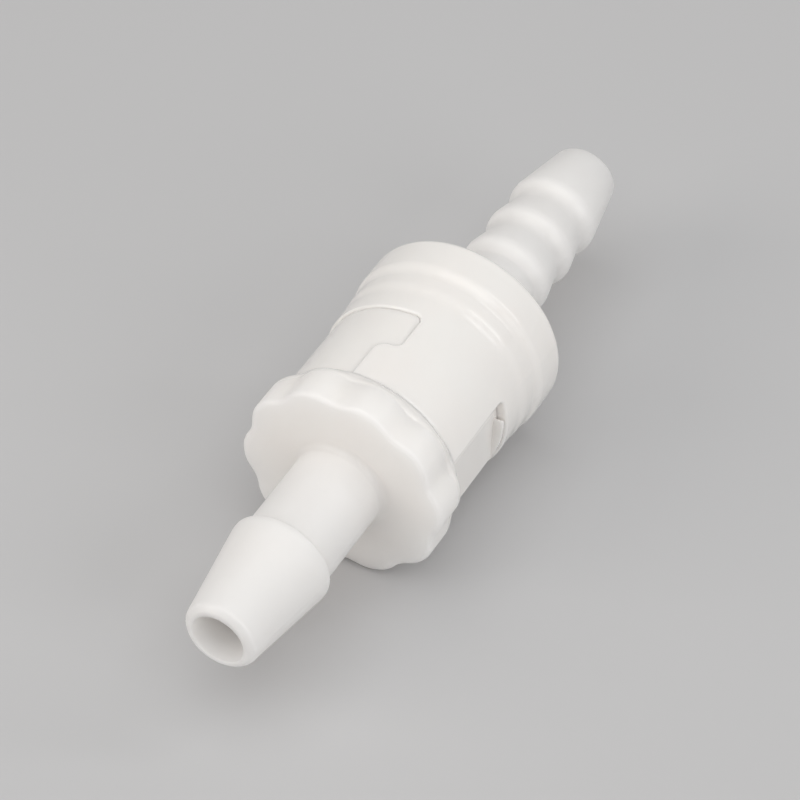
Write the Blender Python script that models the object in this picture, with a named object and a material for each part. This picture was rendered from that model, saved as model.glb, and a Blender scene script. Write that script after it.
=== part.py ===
"""Inline check valve with a hose tail at each end and a bayonet cap.

The flow axis is X: the inlet cap is at -X and the outlet body at +X. The origin is the centre of the
valve on its axis. Lengths are in metres, and stations are counted from the inlet's tip before they are
moved to the origin. Angles round the axis are counted from +Z towards -Y, which is right-handed about +X.
"""

import math

import bmesh
import bpy
from mathutils import Vector

# Hose tails
HOSE_BORE_RADIUS = 0.00200
TIP_CHAMFER = 0.00020
BARB_ROUND = 0.00012

INLET_TIP_RADIUS = 0.00272
INLET_CONE_LENGTH = 0.00805
INLET_CREST_RADIUS = 0.00389
INLET_BARB_LAND = 0.00045
INLET_NECK_RADIUS = 0.00338
INLET_NECK_LENGTH = 0.00810
NECK_FILLET = 0.00060

OUTLET_TIP_RADIUS = 0.00255
OUTLET_CONE_LENGTH = 0.00555
OUTLET_CREST_RADIUS = 0.00355
OUTLET_BARB_LAND = 0.00050
OUTLET_SHOULDER_RUN = 0.00090
OUTLET_NECK_RADIUS = 0.00302
OUTLET_FIRST_BARB = 0.00595
OUTLET_BARB_COUNT = 3
OUTLET_BARB_PITCH = 0.00380
OUTLET_BARB_TAPER = 0.00240

# Grip flange of the cap
FLANGE_THICKNESS = 0.00340
FLANGE_EDGE = 0.00035
LOBE_RADIUS = 0.00805
LOBE_COUNT = 10
NOTCH_DEPTH = 0.00047
NOTCH_SHARPNESS = 1.5
NOTCH_ANGLE = math.radians(-3.0)

# Sleeve, collar and band of the outlet body
FLANGE_GAP = 0.00020
GRIP_RISE = 0.00055
SLEEVE_WALL = 0.00080
SLEEVE_EDGE = 0.00015
COLLAR_RISE = 0.00012
COLLAR_LENGTH = 0.00510
COLLAR_SLOPE = 0.00070
BAND_RISE = 0.00026
BAND_LENGTH = 0.00310
BAND_SLOPE = 0.00070
RIM_ROUND = 0.00060
END_WALL = 0.00130
TAIL_FILLET = 0.00040

# Bayonet windows and lugs
BAYONET_COUNT = 2
WINDOW_LENGTH = 0.00750
WINDOW_ARC = math.radians(100.0)
WINDOW_WALL_ANGLE = math.radians(-8.0)
LEG_ARC = math.radians(13.0)
LEG_LENGTH = 0.00350
WINDOW_CORNER = 0.00060
FINGER_CORNER = 0.00100
LUG_RECESS = 0.00020
LUG_CLEARANCE = 0.00020

# Plug of the cap, and its seal
PLUG_CLEARANCE = 0.00010
PLUG_WALL = 0.00180
PLUG_LAND = 0.00080
BODY_SEAL_WIRE = 0.00090
SEAL_CLEARANCE = 0.00006
GROOVE_CLEARANCE = 0.00010

# Poppet, its seal, spring and guide
POPPET_SEAL_WIRE = 0.00100
SEAT_MARGIN = 0.00045
LIP_LENGTH = 0.00033
LIP_CLEARANCE = 0.00015
NOSE_LENGTH = 0.00100
NOSE_RADIUS = 0.00110
HEAD_THICKNESS = 0.00140
HEAD_EDGE = 0.00020
FLOW_GAP = 0.00120
BOSS_RADIUS = 0.00180
BOSS_LENGTH = 0.00060
STEM_RADIUS = 0.00120
STEM_CLEARANCE = 0.00010
STEM_REACH = 0.00035
STEM_CHAMFER = 0.00020
SPRING_WIRE = 0.00050
SPRING_TURNS = 6
SPRING_CLEARANCE = 0.00020
SPRING_SEAT_GAP = 0.00010
GUIDE_THICKNESS = 0.00100
GUIDE_SEAT_GAP = 0.00015
GUIDE_SPOKES = 4
SPOKE_ANGLE = math.radians(45.0)
SPOKE_WIDTH = 0.00130
SPOKE_THICKNESS = 0.00080
HUB_MARGIN = 0.00040
OUTLET_CHAMBER = 0.00245

# Facets of the round pieces
CAP_SEGMENTS = 80
BODY_SEGMENTS = 64
SMALL_SEGMENTS = 40
RING_SIDES = 8
ROUND_STEPS = 3
CORNER_STEPS = 5
STRIP_STEP = math.radians(5.0)
WALL_STEP = math.radians(0.1)
SPRING_POINTS_PER_TURN = 10
SMOOTH_ANGLE = math.radians(30.0)

# Stations along the flow axis, counted from the inlet's tip
INLET_CREST = INLET_CONE_LENGTH
INLET_SHOULDER = INLET_CREST + INLET_BARB_LAND
FLANGE_FRONT = INLET_SHOULDER + INLET_NECK_LENGTH
FLANGE_BACK = FLANGE_FRONT + FLANGE_THICKNESS
SLEEVE_FRONT = FLANGE_BACK + FLANGE_GAP
WINDOW_END = FLANGE_BACK + WINDOW_LENGTH
LEG_START = WINDOW_END - LEG_LENGTH
GROOVE_START = WINDOW_END + PLUG_LAND
GROOVE_END = GROOVE_START + BODY_SEAL_WIRE + 2 * GROOVE_CLEARANCE
PLUG_END = GROOVE_END + PLUG_LAND
GUIDE_START = PLUG_END + GUIDE_SEAT_GAP
GUIDE_END = GUIDE_START + GUIDE_THICKNESS
BODY_SHOULDER = GUIDE_END + GUIDE_SEAT_GAP
CHAMBER_END = BODY_SHOULDER + OUTLET_CHAMBER
BODY_END = CHAMBER_END + END_WALL
COLLAR_START = BODY_END - COLLAR_LENGTH
BAND_START = BODY_END - BAND_LENGTH
LAST_BARB = BODY_END + OUTLET_FIRST_BARB + (OUTLET_BARB_COUNT - 1) * OUTLET_BARB_PITCH
OVERALL_LENGTH = LAST_BARB + OUTLET_BARB_LAND + OUTLET_CONE_LENGTH
CENTRE = OVERALL_LENGTH / 2

# Radii that follow from the grip's lobes inwards
SLEEVE_RADIUS = LOBE_RADIUS - GRIP_RISE
BODY_BORE_RADIUS = SLEEVE_RADIUS - SLEEVE_WALL
PLUG_RADIUS = BODY_BORE_RADIUS - PLUG_CLEARANCE
CHAMBER_RADIUS = PLUG_RADIUS - PLUG_WALL
HEAD_RADIUS = CHAMBER_RADIUS - FLOW_GAP
LUG_RADIUS = SLEEVE_RADIUS - LUG_RECESS
COLLAR_RADIUS = SLEEVE_RADIUS + COLLAR_RISE
BAND_RADIUS = COLLAR_RADIUS + BAND_RISE
BODY_SEAL_RADIUS = BODY_BORE_RADIUS - SEAL_CLEARANCE - BODY_SEAL_WIRE / 2
GROOVE_RADIUS = BODY_SEAL_RADIUS - BODY_SEAL_WIRE / 2 - SEAL_CLEARANCE
SPRING_RADIUS = BOSS_RADIUS + SPRING_CLEARANCE + SPRING_WIRE / 2
HUB_RADIUS = SPRING_RADIUS + SPRING_WIRE / 2 + HUB_MARGIN

# The seat is a 45 degree cone, and the poppet's seal lies against it
POPPET_SEAL_RADIUS = HOSE_BORE_RADIUS + POPPET_SEAL_WIRE / 2
SEAT_RADIUS = POPPET_SEAL_RADIUS + POPPET_SEAL_WIRE / 2 + SEAT_MARGIN
SEAT_START = FLANGE_BACK - (SEAT_RADIUS - HOSE_BORE_RADIUS)
SEAL_STAND_OFF = math.sqrt(2) * (POPPET_SEAL_WIRE / 2 + SEAL_CLEARANCE)
POPPET_SEAL_STATION = SEAT_START + POPPET_SEAL_RADIUS - HOSE_BORE_RADIUS + SEAL_STAND_OFF
LIP_END = POPPET_SEAL_STATION - POPPET_SEAL_WIRE / 2 - SEAL_CLEARANCE
LIP_START = LIP_END - LIP_LENGTH
LIP_RADIUS = HOSE_BORE_RADIUS + (LIP_START - SEAT_START) - math.sqrt(2) * LIP_CLEARANCE
HEAD_START = POPPET_SEAL_STATION + POPPET_SEAL_WIRE / 2 + SEAL_CLEARANCE
HEAD_END = HEAD_START + HEAD_THICKNESS
STEM_END = GUIDE_END + STEM_REACH

# Colours and finishes of the materials
WHITE_PLASTIC = (0.83, 0.81, 0.79, 1.0)
POPPET_PLASTIC = (0.80, 0.80, 0.78, 1.0)
DARK_RUBBER = (0.03, 0.03, 0.03, 1.0)
SPRING_STEEL = (0.60, 0.60, 0.60, 1.0)
PLASTIC_ROUGHNESS = 0.40
RUBBER_ROUGHNESS = 0.60
STEEL_ROUGHNESS = 0.30


def clear_scene():
    """Removes every object of the scene."""
    for old in list(bpy.data.objects):
        bpy.data.objects.remove(old, do_unlink=True)


def make_material(name, colour, roughness, metallic=0.0):
    """Returns a Principled material."""
    material = bpy.data.materials.new(name)
    material.use_nodes = True
    shader = material.node_tree.nodes["Principled BSDF"]
    shader.inputs["Base Color"].default_value = colour
    shader.inputs["Roughness"].default_value = roughness
    shader.inputs["Metallic"].default_value = metallic
    return material


def on_axis(station, radius, angle):
    """Returns the point at a station, a radius and an angle round the flow axis."""
    return Vector((station - CENTRE, -radius * math.sin(angle), radius * math.cos(angle)))


def finish_object(name, shape, material=None):
    """Makes an object of a bmesh, with its faces outwards and its round faces smooth."""
    bmesh.ops.recalc_face_normals(shape, faces=shape.faces[:])
    mesh = bpy.data.meshes.new(name)
    shape.to_mesh(mesh)
    shape.free()
    mesh.shade_smooth()
    mesh.set_sharp_from_angle(angle=SMOOTH_ANGLE)
    piece = bpy.data.objects.new(name, mesh)
    bpy.context.scene.collection.objects.link(piece)
    if material:
        mesh.materials.append(material)
    return piece


def plain(profile):
    """Marks every point of a turned profile as round."""
    return [(station, radius, False) for station, radius in profile]


def lobed(profile):
    """Marks every point of a turned profile as following the grip's lobes."""
    return [(station, radius, True) for station, radius in profile]


def notch_depth(angle):
    """Returns how far the grip's rim is cut in at an angle."""
    wave = 0.5 + 0.5 * math.cos(LOBE_COUNT * (angle - NOTCH_ANGLE))
    return NOTCH_DEPTH * wave ** NOTCH_SHARPNESS


def turn_profile(name, profile, segments, material, closed=True):
    """Turns a profile of (station, radius, lobed) points about the flow axis.

    A closed profile makes a ring. An open one starts and ends on the axis, at radius zero.
    """
    shape = bmesh.new()
    rings = []
    for station, radius, has_lobes in profile:
        if radius == 0:
            rings.append([shape.verts.new(on_axis(station, 0, 0))])
            continue
        ring = []
        for index in range(segments):
            angle = 2 * math.pi * index / segments
            cut = notch_depth(angle) if has_lobes else 0
            ring.append(shape.verts.new(on_axis(station, radius - cut, angle)))
        rings.append(ring)
    pairs = list(zip(rings, rings[1:]))
    if closed:
        pairs.append((rings[-1], rings[0]))
    for first, second in pairs:
        for index in range(segments):
            following = (index + 1) % segments
            corners = [first[index % len(first)], second[index % len(second)]]
            if len(second) > 1:
                corners.append(second[following])
            if len(first) > 1:
                corners.append(first[following])
            shape.faces.new(corners)
    return finish_object(name, shape, material)


def quarter_round(station, radius, size, start, steps=ROUND_STEPS):
    """Returns points of a quarter circle of a size about a centre, from an angle of the profile's plane.

    The angle is counted from the direction of growing radius towards growing station.
    """
    points = []
    for index in range(steps + 1):
        angle = start + math.pi / 2 * index / steps
        points.append((station + size * math.sin(angle), radius + size * math.cos(angle)))
    return points


def outlet_barbs():
    """Returns the outer profile of the outlet's barbs, from the body's end to the tip."""
    first_crest = BODY_END + OUTLET_FIRST_BARB
    points = [(first_crest - OUTLET_SHOULDER_RUN, OUTLET_NECK_RADIUS)]
    for index in range(OUTLET_BARB_COUNT):
        crest = first_crest + index * OUTLET_BARB_PITCH
        points.append((crest, OUTLET_CREST_RADIUS))
        points.append((crest + OUTLET_BARB_LAND, OUTLET_CREST_RADIUS))
        if index < OUTLET_BARB_COUNT - 1:
            points.append((crest + OUTLET_BARB_LAND + OUTLET_BARB_TAPER, OUTLET_NECK_RADIUS))
    points.append((OVERALL_LENGTH - TIP_CHAMFER, OUTLET_TIP_RADIUS))
    points.append((OVERALL_LENGTH, OUTLET_TIP_RADIUS - TIP_CHAMFER))
    return points


def bayonet_strip(name, start, wall, end, open_station, leg, back, inner, outer, finger_round, corner):
    """Makes an L-shaped strip of a cylinder's wall, between two radii, as a window or a lug needs.

    It runs from the start angle to the wall angle over its whole length, and on to the end angle only
    behind the leg's station. The corner where the leg turns off and the far corners are rounded.
    """
    turn = finger_round / SLEEVE_RADIUS
    far_turn = corner / SLEEVE_RADIUS
    angles = [start, wall, wall + WALL_STEP, end]
    angles += [start + far_turn * index / CORNER_STEPS for index in range(1, CORNER_STEPS + 1)]
    angles += [wall + WALL_STEP + turn * index / CORNER_STEPS for index in range(1, CORNER_STEPS + 1)]
    angles += [end - far_turn * index / CORNER_STEPS for index in range(1, CORNER_STEPS + 1)]
    steps = math.ceil((wall - start) / STRIP_STEP)
    angles += [start + far_turn + (wall - start - far_turn) * index / steps for index in range(1, steps)]
    shape = bmesh.new()
    rows = []
    for angle in sorted(angles):
        near = open_station
        past_wall = (angle - wall - WALL_STEP) * SLEEVE_RADIUS
        before_end = (end - angle) * SLEEVE_RADIUS
        after_start = (angle - start) * SLEEVE_RADIUS
        if angle > wall:
            near = leg - finger_round + arc_rise(past_wall, finger_round)
            near += corner - arc_rise(before_end, corner)
        far = back - corner + min(arc_rise(before_end, corner), arc_rise(after_start, corner))
        rows.append([shape.verts.new(on_axis(station, radius, angle))
                     for station, radius in ((near, inner), (far, inner), (far, outer), (near, outer))])
    for first, second in zip(rows, rows[1:]):
        for index in range(len(first)):
            following = (index + 1) % len(first)
            shape.faces.new((first[index], first[following], second[following], second[index]))
    shape.faces.new(rows[0])
    shape.faces.new(rows[-1])
    return finish_object(name, shape)


def arc_rise(along, radius):
    """Returns how far a quarter circle has risen at a distance along it, and its radius past its end."""
    short = max(0.0, radius - max(along, 0.0))
    return math.sqrt(max(0.0, radius * radius - short * short))


def combine(piece, other, operation):
    """Joins another object to a piece, or cuts it away, and keeps the other one as a guide."""
    modifier = piece.modifiers.new(other.name, "BOOLEAN")
    modifier.operation = operation
    modifier.solver = "EXACT"
    modifier.object = other
    other.hide_render = True
    other.display_type = "WIRE"


def make_inlet_cap(material):
    """Makes the cap: the inlet's hose tail, the grip flange and the plug with its two lugs."""
    tail = [
        (0, HOSE_BORE_RADIUS),
        (0, INLET_TIP_RADIUS - TIP_CHAMFER),
        (TIP_CHAMFER, INLET_TIP_RADIUS),
        (INLET_CREST, INLET_CREST_RADIUS),
        (INLET_SHOULDER - BARB_ROUND, INLET_CREST_RADIUS),
        (INLET_SHOULDER, INLET_CREST_RADIUS - BARB_ROUND),
        (INLET_SHOULDER, INLET_NECK_RADIUS),
    ]
    rim_radius = LOBE_RADIUS - FLANGE_EDGE
    front_edge = quarter_round(FLANGE_FRONT + FLANGE_EDGE, rim_radius, FLANGE_EDGE, -math.pi / 2)
    back_edge = quarter_round(FLANGE_BACK - FLANGE_EDGE, rim_radius, FLANGE_EDGE, 0)
    plug = [
        (FLANGE_BACK, PLUG_RADIUS),
        (GROOVE_START, PLUG_RADIUS),
        (GROOVE_START, GROOVE_RADIUS),
        (GROOVE_END, GROOVE_RADIUS),
        (GROOVE_END, PLUG_RADIUS),
        (PLUG_END, PLUG_RADIUS),
        (PLUG_END, CHAMBER_RADIUS),
        (FLANGE_BACK, CHAMBER_RADIUS),
        (FLANGE_BACK, SEAT_RADIUS),
        (SEAT_START, HOSE_BORE_RADIUS),
    ]
    profile = plain(tail) + plain(neck_fillet_points()) + lobed(front_edge) + lobed(back_edge) + plain(plug)
    cap = turn_profile("inlet_cap", profile, CAP_SEGMENTS, material)
    clearance = LUG_CLEARANCE / SLEEVE_RADIUS
    for index in range(BAYONET_COUNT):
        wall = WINDOW_WALL_ANGLE + 2 * math.pi * index / BAYONET_COUNT
        lug = bayonet_strip(
            f"lug_shape_{index + 1}",
            start=wall - WINDOW_ARC + LEG_ARC + clearance,
            wall=wall - clearance,
            end=wall + LEG_ARC - clearance,
            open_station=FLANGE_BACK - FLANGE_EDGE,
            leg=LEG_START + LUG_CLEARANCE,
            back=WINDOW_END - LUG_CLEARANCE,
            inner=GROOVE_RADIUS,
            outer=LUG_RADIUS,
            finger_round=FINGER_CORNER + LUG_CLEARANCE,
            corner=WINDOW_CORNER - LUG_CLEARANCE,
        )
        combine(cap, lug, "UNION")
    return cap


def neck_fillet_points():
    """Returns the fillet between the inlet's neck and the flange's front face."""
    centre_radius = INLET_NECK_RADIUS + NECK_FILLET
    fillet = quarter_round(FLANGE_FRONT - NECK_FILLET, centre_radius, NECK_FILLET, math.pi / 2)
    fillet.reverse()
    return fillet


def make_outlet_body(material):
    """Makes the body: the sleeve with its windows, the collar, the band and the outlet's hose tail."""
    rim = quarter_round(BODY_END - RIM_ROUND, BAND_RADIUS - RIM_ROUND, RIM_ROUND, 0)
    sleeve = [
        (SLEEVE_FRONT, BODY_BORE_RADIUS),
        (SLEEVE_FRONT, SLEEVE_RADIUS - SLEEVE_EDGE),
        (SLEEVE_FRONT + SLEEVE_EDGE, SLEEVE_RADIUS),
        (COLLAR_START - COLLAR_SLOPE, SLEEVE_RADIUS),
        (COLLAR_START, COLLAR_RADIUS),
        (BAND_START - BAND_SLOPE, COLLAR_RADIUS),
        (BAND_START, BAND_RADIUS),
    ]
    tail_fillet = [
        (BODY_END, OUTLET_NECK_RADIUS + TAIL_FILLET),
        (BODY_END + TAIL_FILLET, OUTLET_NECK_RADIUS),
    ]
    inside = [
        (OVERALL_LENGTH, HOSE_BORE_RADIUS),
        (CHAMBER_END, HOSE_BORE_RADIUS),
        (CHAMBER_END, CHAMBER_RADIUS),
        (BODY_SHOULDER, CHAMBER_RADIUS),
        (BODY_SHOULDER, BODY_BORE_RADIUS),
    ]
    profile = plain(sleeve + rim + tail_fillet + outlet_barbs() + inside)
    body = turn_profile("outlet_body", profile, BODY_SEGMENTS, material)
    for index in range(BAYONET_COUNT):
        wall = WINDOW_WALL_ANGLE + 2 * math.pi * index / BAYONET_COUNT
        window = bayonet_strip(
            f"window_cut_{index + 1}",
            start=wall - WINDOW_ARC,
            wall=wall,
            end=wall + LEG_ARC,
            open_station=FLANGE_BACK,
            leg=LEG_START,
            back=WINDOW_END,
            inner=BODY_BORE_RADIUS - SLEEVE_WALL,
            outer=SLEEVE_RADIUS + SLEEVE_WALL,
            finger_round=FINGER_CORNER,
            corner=WINDOW_CORNER,
        )
        combine(body, window, "DIFFERENCE")
    return body


def make_seal(name, station, ring_radius, wire, segments, material):
    """Makes an O-ring about the flow axis."""
    profile = []
    for index in range(RING_SIDES):
        angle = 2 * math.pi * index / RING_SIDES
        place = (station + wire / 2 * math.sin(angle), ring_radius + wire / 2 * math.cos(angle))
        profile.append(place)
    return turn_profile(name, plain(profile), segments, material)


def make_poppet(material):
    """Makes the poppet: nose, lip, seal groove, head, spring boss and guide stem."""
    profile = [
        (LIP_START - NOSE_LENGTH, 0),
        (LIP_START - NOSE_LENGTH, NOSE_RADIUS),
        (LIP_START, LIP_RADIUS),
        (LIP_END, LIP_RADIUS),
        (LIP_END, HOSE_BORE_RADIUS - SEAL_CLEARANCE),
        (HEAD_START, HOSE_BORE_RADIUS - SEAL_CLEARANCE),
        (HEAD_START, HEAD_RADIUS - HEAD_EDGE),
        (HEAD_START + HEAD_EDGE, HEAD_RADIUS),
        (HEAD_END - HEAD_EDGE, HEAD_RADIUS),
        (HEAD_END, HEAD_RADIUS - HEAD_EDGE),
        (HEAD_END, BOSS_RADIUS),
        (HEAD_END + BOSS_LENGTH, BOSS_RADIUS),
        (HEAD_END + BOSS_LENGTH, STEM_RADIUS),
        (STEM_END - STEM_CHAMFER, STEM_RADIUS),
        (STEM_END, STEM_RADIUS - STEM_CHAMFER),
        (STEM_END, 0),
    ]
    return turn_profile("poppet", plain(profile), SMALL_SEGMENTS, material, closed=False)


def make_return_spring(material):
    """Makes the spring as one unbroken tube, and prints its least gap to itself."""
    first = HEAD_END + SPRING_SEAT_GAP + SPRING_WIRE / 2
    last = GUIDE_START - SPRING_SEAT_GAP - SPRING_WIRE / 2
    count = SPRING_TURNS * SPRING_POINTS_PER_TURN
    points = []
    for index in range(count + 1):
        share = index / count
        angle = 2 * math.pi * SPRING_TURNS * share
        points.append(on_axis(first + (last - first) * share, SPRING_RADIUS, angle))
    curve = bpy.data.curves.new("return_spring", "CURVE")
    curve.dimensions = "3D"
    curve.bevel_depth = SPRING_WIRE / 2
    curve.bevel_resolution = 1
    curve.use_fill_caps = True
    curve.materials.append(material)
    spline = curve.splines.new("POLY")
    spline.points.add(count)
    for slot, point in zip(spline.points, points):
        slot.co = (point.x, point.y, point.z, 1.0)
    spline.use_smooth = True
    spring = bpy.data.objects.new("return_spring", curve)
    bpy.context.scene.collection.objects.link(spring)
    gap = min((points[a] - points[b]).length
              for a in range(count + 1)
              for b in range(a + SPRING_POINTS_PER_TURN // 2, count + 1)) - SPRING_WIRE
    print(f"return_spring: least gap to itself {gap * 1000:.3f} mm")
    return spring


def make_spring_guide(material):
    """Makes the guide: an outer ring, a hub round the poppet's stem, and the spokes between them."""
    hole = STEM_RADIUS + STEM_CLEARANCE
    ring = [
        (GUIDE_START, CHAMBER_RADIUS),
        (GUIDE_START, PLUG_RADIUS),
        (GUIDE_END, PLUG_RADIUS),
        (GUIDE_END, CHAMBER_RADIUS),
    ]
    hub = [
        (GUIDE_START, hole),
        (GUIDE_START, HUB_RADIUS),
        (GUIDE_END, HUB_RADIUS),
        (GUIDE_END, hole),
    ]
    guide = turn_profile("spring_guide", plain(ring), BODY_SEGMENTS, material)
    hub_shape = turn_profile("hub_shape", plain(hub), SMALL_SEGMENTS, None)
    for index in range(GUIDE_SPOKES):
        angle = SPOKE_ANGLE + 2 * math.pi * index / GUIDE_SPOKES
        combine(guide, make_spoke(f"spoke_shape_{index + 1}", angle), "UNION")
    combine(guide, hub_shape, "UNION")
    return guide


def make_spoke(name, angle):
    """Makes one spoke, which reaches into the middle of the hub's wall and of the ring's wall."""
    inner = (STEM_RADIUS + STEM_CLEARANCE + HUB_RADIUS) / 2
    outer = (CHAMBER_RADIUS + PLUG_RADIUS) / 2
    middle = (GUIDE_START + GUIDE_END) / 2
    along = Vector((0, -math.sin(angle), math.cos(angle)))
    across = Vector((0, math.cos(angle), math.sin(angle))) * SPOKE_WIDTH / 2
    shape = bmesh.new()
    rows = []
    for station in (middle - SPOKE_THICKNESS / 2, middle + SPOKE_THICKNESS / 2):
        base = Vector((station - CENTRE, 0, 0))
        rows.append([shape.verts.new(base + along * radius + across * side)
                     for radius, side in ((inner, -1), (outer, -1), (outer, 1), (inner, 1))])
    shape.faces.new(rows[0])
    shape.faces.new(rows[1])
    for index in range(len(rows[0])):
        following = (index + 1) % len(rows[0])
        shape.faces.new((rows[0][index], rows[0][following], rows[1][following], rows[1][index]))
    return finish_object(name, shape)


def main():
    """Builds every piece of the valve."""
    clear_scene()
    make_inlet_cap(make_material("inlet_cap", WHITE_PLASTIC, PLASTIC_ROUGHNESS))
    make_outlet_body(make_material("outlet_body", WHITE_PLASTIC, PLASTIC_ROUGHNESS))
    body_seal_station = (GROOVE_START + GROOVE_END) / 2
    make_seal("body_seal", body_seal_station, BODY_SEAL_RADIUS, BODY_SEAL_WIRE, BODY_SEGMENTS,
              make_material("body_seal", DARK_RUBBER, RUBBER_ROUGHNESS))
    make_poppet(make_material("poppet", POPPET_PLASTIC, PLASTIC_ROUGHNESS))
    make_seal("poppet_seal", POPPET_SEAL_STATION, POPPET_SEAL_RADIUS, POPPET_SEAL_WIRE, SMALL_SEGMENTS,
              make_material("poppet_seal", DARK_RUBBER, RUBBER_ROUGHNESS))
    make_return_spring(make_material("return_spring", SPRING_STEEL, STEEL_ROUGHNESS, metallic=1.0))
    make_spring_guide(make_material("spring_guide", POPPET_PLASTIC, PLASTIC_ROUGHNESS))


main()
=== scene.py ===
"""Dresses an inline check valve: two moulded halves, their seals, the poppet, its spring and its guide.

The flow axis is X, with the inlet at -X and the outlet at +X. Lengths are in metres. Angles round the
axis are counted from +Z towards -Y, which is right-handed about +X. A station is an X coordinate.
"""

import logging
import math
from abc import ABC, abstractmethod
from dataclasses import dataclass, replace
from enum import Enum
from functools import cache
from typing import Any, NamedTuple, Sequence

import bmesh
import bpy
from mathutils import Matrix, Vector


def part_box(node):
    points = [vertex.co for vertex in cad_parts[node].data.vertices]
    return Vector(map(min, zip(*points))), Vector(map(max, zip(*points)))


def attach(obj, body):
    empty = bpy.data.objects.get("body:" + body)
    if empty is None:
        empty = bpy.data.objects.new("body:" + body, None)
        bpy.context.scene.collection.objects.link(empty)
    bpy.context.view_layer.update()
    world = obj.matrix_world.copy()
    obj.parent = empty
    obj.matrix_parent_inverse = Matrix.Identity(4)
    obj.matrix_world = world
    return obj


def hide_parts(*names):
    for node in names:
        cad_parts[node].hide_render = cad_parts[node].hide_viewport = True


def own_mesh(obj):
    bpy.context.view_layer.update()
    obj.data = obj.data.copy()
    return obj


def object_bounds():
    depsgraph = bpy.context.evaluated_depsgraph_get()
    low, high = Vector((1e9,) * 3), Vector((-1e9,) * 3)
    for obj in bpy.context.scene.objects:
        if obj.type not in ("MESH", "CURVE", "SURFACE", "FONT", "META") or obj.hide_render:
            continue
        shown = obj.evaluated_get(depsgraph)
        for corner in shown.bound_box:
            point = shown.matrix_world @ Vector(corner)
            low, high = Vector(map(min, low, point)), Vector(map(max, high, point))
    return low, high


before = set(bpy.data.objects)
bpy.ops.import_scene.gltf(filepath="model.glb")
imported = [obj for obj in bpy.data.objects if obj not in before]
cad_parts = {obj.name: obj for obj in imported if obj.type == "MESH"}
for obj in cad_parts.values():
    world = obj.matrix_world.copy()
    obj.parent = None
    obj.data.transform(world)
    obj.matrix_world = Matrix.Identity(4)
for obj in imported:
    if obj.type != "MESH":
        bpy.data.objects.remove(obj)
CAD_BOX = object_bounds()
LOG = logging.getLogger("check_valve")

Colour = tuple[float, float, float, float]
Row = list[bmesh.types.BMVert]

# How finely the turned and rounded shapes are divided
TURN_COLUMNS = 240
ARC_STEP = math.radians(12.0)
FEWEST_ARC_STEPS = 2
CORNER_STEPS = 12
EDGE_STEPS = 5
EDGE_TURN = math.radians(80.0)
SPOKE_EDGE_POINTS = 3
LONG_STEP = 0.0020
# Distance from an arc at which a straight gets a point, and the most of a straight that an arc takes up
SUPPORT = 0.00003
ROUND_SHARE = 0.49
# Angle from which an edge is shaded as a sharp one
SHARP_ANGLE = math.radians(42.0)

# Socket types of the trees' inputs, and the places of a Mix node's colours among its sockets
NUMBER, WHOLE = "NodeSocketFloat", "NodeSocketInt"
MIX_FIRST, MIX_SECOND, MIX_RESULT = 6, 7, 2

# Noises of the finishes: their octaves, and the values between which a patch or a mark sets in
NOISE_ROUGHNESS = 0.55
CLOUD_DETAIL, GLOSS_DETAIL, GRAIN_DETAIL, RIPPLE_DETAIL, MARK_DETAIL = 3.0, 4.0, 2.0, 1.0, 2.0
PATCH_RANGE = (0.32, 0.68)
MARK_RANGE = (0.66, 0.72)
RIPPLE_SHARE = 3.0
# Marks in a metre, and the turn and the stretch of each set of them
MARK_SCALE = 700.0
MARK_SETS = ((math.radians(25.0), (9.0, 0.6, 1.0)), (math.radians(-50.0), (0.7, 8.0, 1.2)))


class Heading(Enum):
    """Way along the flow axis from a hose tail's tip to its root."""

    INLET = 1.0
    OUTLET = -1.0


class Joining(Enum):
    """Way that one solid is worked into another."""

    CUT = "DIFFERENCE"
    FUSE = "UNION"


class Edging(Enum):
    """Way that a strip's rounded outer edge goes: in on a solid, or out on a cut."""

    DRAWN_IN = -1.0
    FLARED = 1.0


@dataclass(frozen=True)
class Corner:
    """A corner of a turned outline.

    Attributes:
        station: Place along the flow axis.
        radius: Distance from the flow axis.
        rounding: Radius of the arc that rounds the corner, or zero.
        grip: Share of the grip's scallops that the corner follows.
        seam: Share of the mould's parting ridge that the corner carries.
        step: Longest face along the straight that leaves the corner.
    """

    station: float
    radius: float
    rounding: float = 0.0
    grip: float = 0.0
    seam: float = 0.0
    step: float = LONG_STEP


class OutlinePoint(NamedTuple):
    """A point of a rounded outline, with its shares of the scallops and of the parting ridge."""

    station: float
    radius: float
    grip: float
    seam: float


def arc_points(before: Corner, corner: Corner, after: Corner) -> list[OutlinePoint]:
    """Rounds one corner of an outline.

    Args:
        before: Corner that the outline comes from.
        corner: Corner to round.
        after: Corner that the outline goes on to.

    Returns:
        Points of the arc, or the corner alone if it has no rounding.
    """
    if corner.rounding == 0:
        return [OutlinePoint(corner.station, corner.radius, corner.grip, corner.seam)]
    here = Vector((corner.station, corner.radius))
    back = Vector((before.station, before.radius)) - here
    ahead = Vector((after.station, after.radius)) - here
    half = back.angle(ahead) / 2
    reach = min(corner.rounding / math.tan(half), ROUND_SHARE * min(back.length, ahead.length))
    middle = (back.normalized() + ahead.normalized()).normalized()
    centre = here + middle * (reach / math.cos(half))
    spoke = here + back.normalized() * reach - centre
    turn = math.copysign(math.pi - 2 * half, back.cross(ahead))
    steps = max(FEWEST_ARC_STEPS, math.ceil(abs(turn) / ARC_STEP))
    first = corner.grip + (before.grip - corner.grip) * reach / back.length
    last = corner.grip + (after.grip - corner.grip) * reach / ahead.length
    points = []
    for index in range(steps + 1):
        share = index / steps
        place = centre + Matrix.Rotation(-turn * share, 2) @ spoke
        points.append(OutlinePoint(place.x, place.y, first + (last - first) * share, corner.seam))
    return points


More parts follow.
